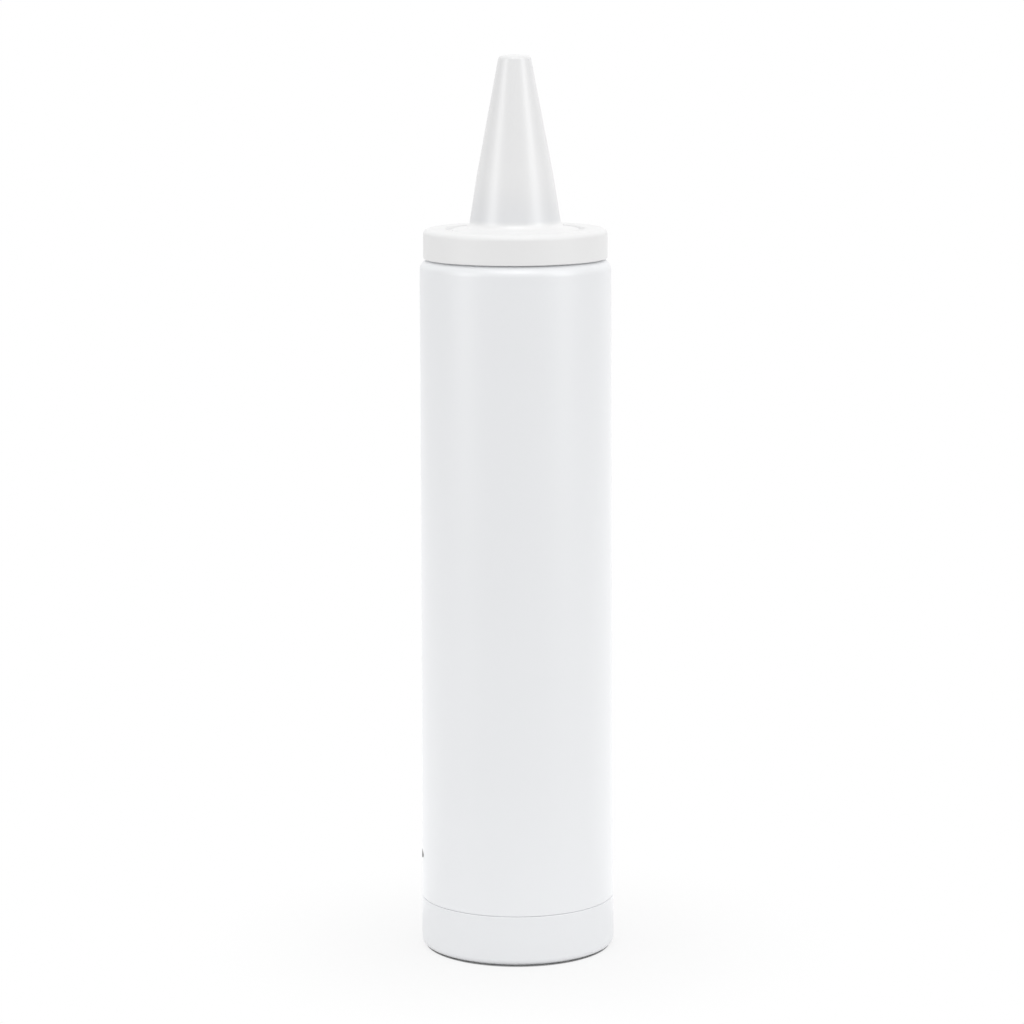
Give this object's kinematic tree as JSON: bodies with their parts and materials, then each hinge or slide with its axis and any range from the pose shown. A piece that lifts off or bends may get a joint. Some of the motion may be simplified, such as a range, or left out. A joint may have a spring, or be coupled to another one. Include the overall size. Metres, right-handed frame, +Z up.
{
  "type": "caulk tube",
  "caption": "Sealed caulk cartridge that stands upright: tubular barrel on a base ring, recessed disc head, screw-on cone nozzle with a closed tip, and a plunger that drives the compound.",
  "frame": {"origin": "on the floor, on the cartridge's axis", "axes": "+Z up along the cartridge's axis towards the nozzle, -Y towards the pictured front"},
  "size_m": [0.0504, 0.0504, 0.2323],
  "materials": {
    "body_plastic": "satin",
    "head_plastic": "satin",
    "nozzle_plastic": "satin",
    "plunger_plastic": "satin",
    "foil": "satin",
    "compound": "satin"
  },
  "bodies": {
    "cartridge": {"barrel": "body_plastic", "base_ring": "body_plastic", "head": "head_plastic", "seal_foil": "foil", "sealant": "compound"},
    "piston": {"plunger": "plunger_plastic"},
    "spout": {"nozzle": "nozzle_plastic"}
  },
  "joints": [
    {"name": "plunger_slide", "type": "slide", "parent": "cartridge", "child": "piston", "axis": [0, 0, 1], "range_m": [0, 0.137], "deforming": ["sealant"]},
    {"name": "nozzle_lift", "type": "slide", "parent": "cartridge", "child": "spout", "axis": [0, 0, 1], "range_m": [0, 0.03]}
  ]
}
